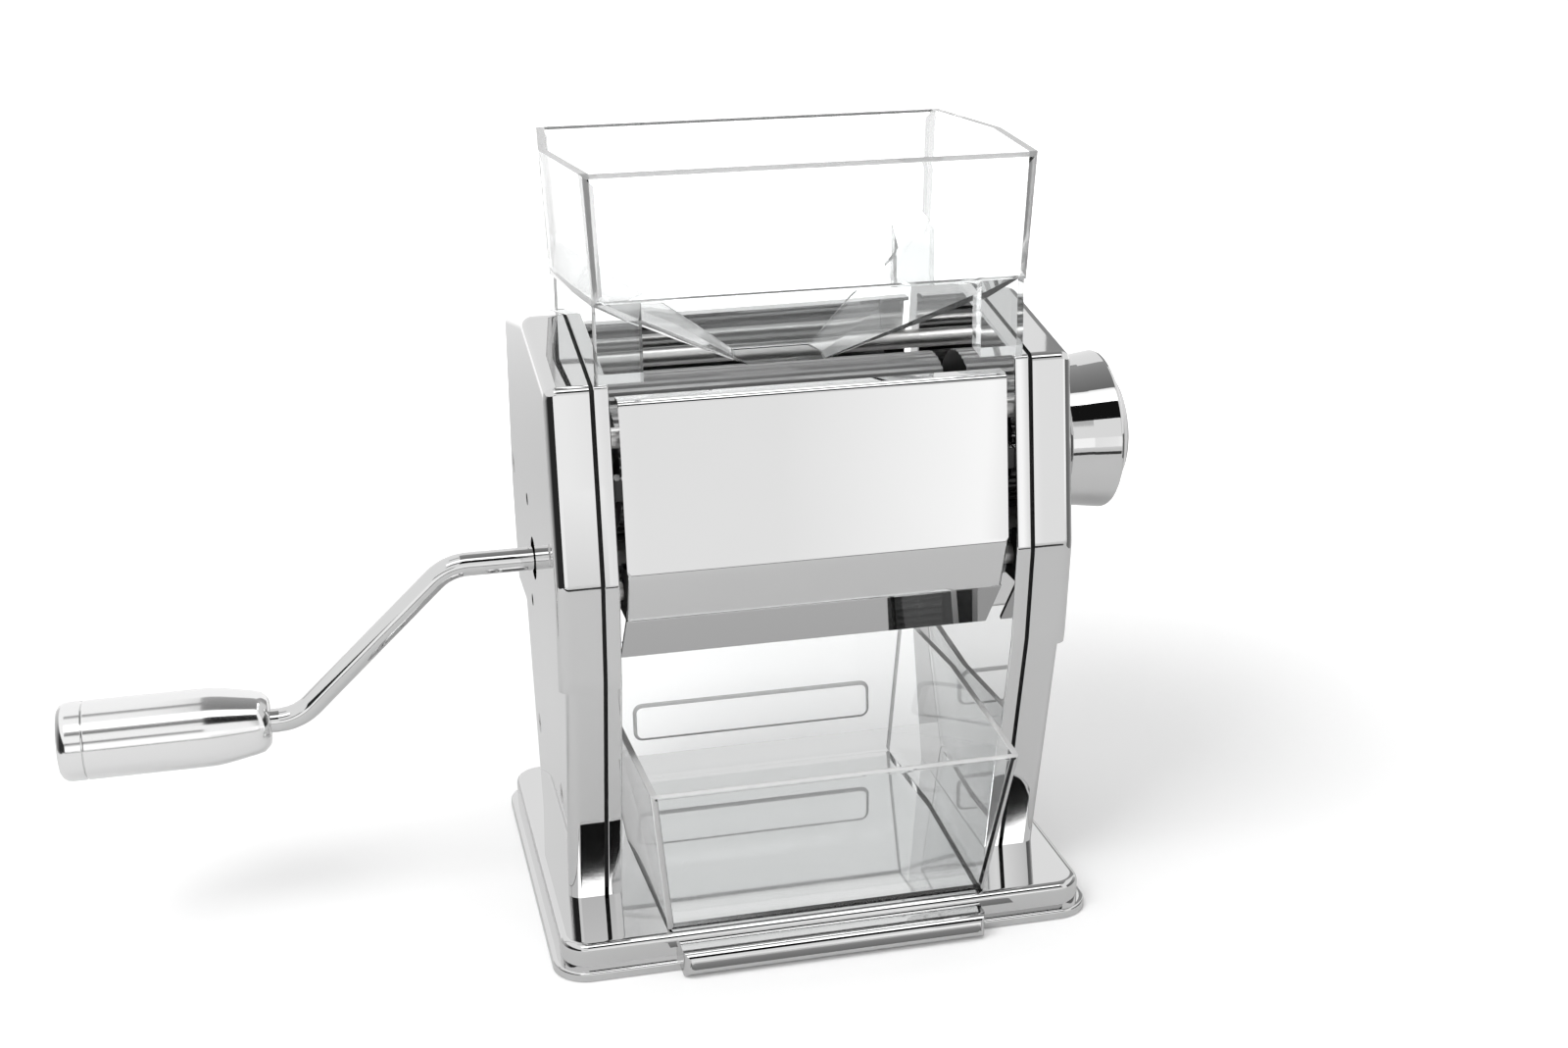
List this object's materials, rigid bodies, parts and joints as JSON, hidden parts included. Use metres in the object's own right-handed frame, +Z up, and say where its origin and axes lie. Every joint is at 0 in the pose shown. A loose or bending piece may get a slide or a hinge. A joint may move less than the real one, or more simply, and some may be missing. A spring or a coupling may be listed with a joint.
{
  "type": "hand grain mill",
  "caption": "Hand-cranked roller grain mill: chromed side shells on a pressed base, fluted rollers, clear hopper above, clear tray below, bent crank and a knob that sets the roller gap.",
  "frame": {"origin": "middle of the base's resting face, midway between the side shells", "axes": "+X across the mill towards the knob, +Y to the back, +Z up"},
  "size_m": [0.4173, 0.183, 0.305],
  "materials": {
    "chrome": "polished, mirror-like",
    "satin_face": "finely turned, satin",
    "polished_rod": "polished",
    "roller_metal": "machined, fine flutes",
    "gear_steel": "machined",
    "plain_steel": "plain turned steel",
    "bearing_plastic": "moulded",
    "bush_brass": "turned",
    "grip_plastic": "glossy, light silver",
    "clear_plastic": "clear, polished",
    "rubber": "matt"
  },
  "bodies": {
    "frame": {"base_plate": "chrome", "base_pad": "rubber", "left_cheek": "chrome", "right_cheek": "chrome", "left_shell": "chrome", "right_shell": "chrome", "front_plate": "chrome", "rear_plate": "chrome", "roller_bushes": "bush_brass", "index_ring": "chrome", "tie_rods": "plain_steel", "tie_nuts": "plain_steel", "left_shell_screws": "plain_steel", "right_shell_screws": "plain_steel", "base_screws": "plain_steel"},
    "lower_roller": {"lower_roller": "roller_metal", "drive_gear": "gear_steel", "drive_gear_clip": "plain_steel"},
    "rear_roller": {"rear_roller": "roller_metal", "rear_gear": "gear_steel", "rear_gear_clip": "plain_steel"},
    "front_carriage": {"left_bearing_block": "bearing_plastic", "right_bearing_block": "bearing_plastic", "carriage_bar": "plain_steel"},
    "front_roller": {"front_roller": "roller_metal", "front_gear": "gear_steel", "front_gear_clip": "plain_steel"},
    "spindle": {"adjust_spindle": "plain_steel", "spindle_head": "plain_steel", "knob_spring": "plain_steel"},
    "knob": {"adjust_knob": "chrome", "knob_cap": "satin_face", "stop_pin": "plain_steel"},
    "crank": {"crank_rod": "polished_rod", "grip_retainer": "plain_steel"},
    "grip": {"crank_grip": "grip_plastic", "grip_end_cap": "grip_plastic"},
    "hopper": {"hopper": "clear_plastic"},
    "tray": {"tray": "clear_plastic"}
  },
  "joints": [
    {"name": "crank_spin", "type": "hinge", "parent": "frame", "child": "lower_roller", "pos_m": [0, -0.001, 0.14336], "axis": [1, 0, 0], "continuous": true},
    {"name": "rear_spin", "type": "hinge", "parent": "frame", "child": "rear_roller", "pos_m": [0, 0.019, 0.187], "axis": [1, 0, 0], "continuous": true},
    {"name": "knob_turn", "type": "hinge", "parent": "frame", "child": "spindle", "pos_m": [0, -0.029, 0.187], "axis": [1, 0, 0], "range_deg": [0, 120]},
    {"name": "carriage_slide", "type": "slide", "parent": "frame", "child": "front_carriage", "axis": [0, -1, 0], "range_m": [0, 0.00112]},
    {"name": "front_spin", "type": "hinge", "parent": "front_carriage", "child": "front_roller", "pos_m": [0, -0.029, 0.187], "axis": [1, 0, 0], "continuous": true},
    {"name": "knob_pull", "type": "slide", "parent": "spindle", "child": "knob", "axis": [1, 0, 0], "range_m": [0, 0.004], "stiffness_N_per_m": 900, "springref_m": -0.003, "deforming": ["knob_spring"]},
    {"name": "crank_pull", "type": "slide", "parent": "lower_roller", "child": "crank", "axis": [-1, 0, 0], "range_m": [0, 0.04]},
    {"name": "grip_spin", "type": "hinge", "parent": "crank", "child": "grip", "pos_m": [0, -0.001, 0.08536], "axis": [1, 0, 0], "continuous": true},
    {"name": "hopper_lift", "type": "slide", "parent": "frame", "child": "hopper", "axis": [0, 0, 1], "range_m": [0, 0.08]},
    {"name": "tray_slide", "type": "slide", "parent": "frame", "child": "tray", "axis": [0, -1, 0], "range_m": [0, 0.12]}
  ],
  "couplings": [
    {"joint": "rear_spin", "follows": "crank_spin", "ratio": -1},
    {"joint": "front_spin", "follows": "crank_spin", "ratio": 1},
    {"joint": "knob_turn", "follows": "carriage_slide", "rad_per_m": 1861.7}
  ]
}
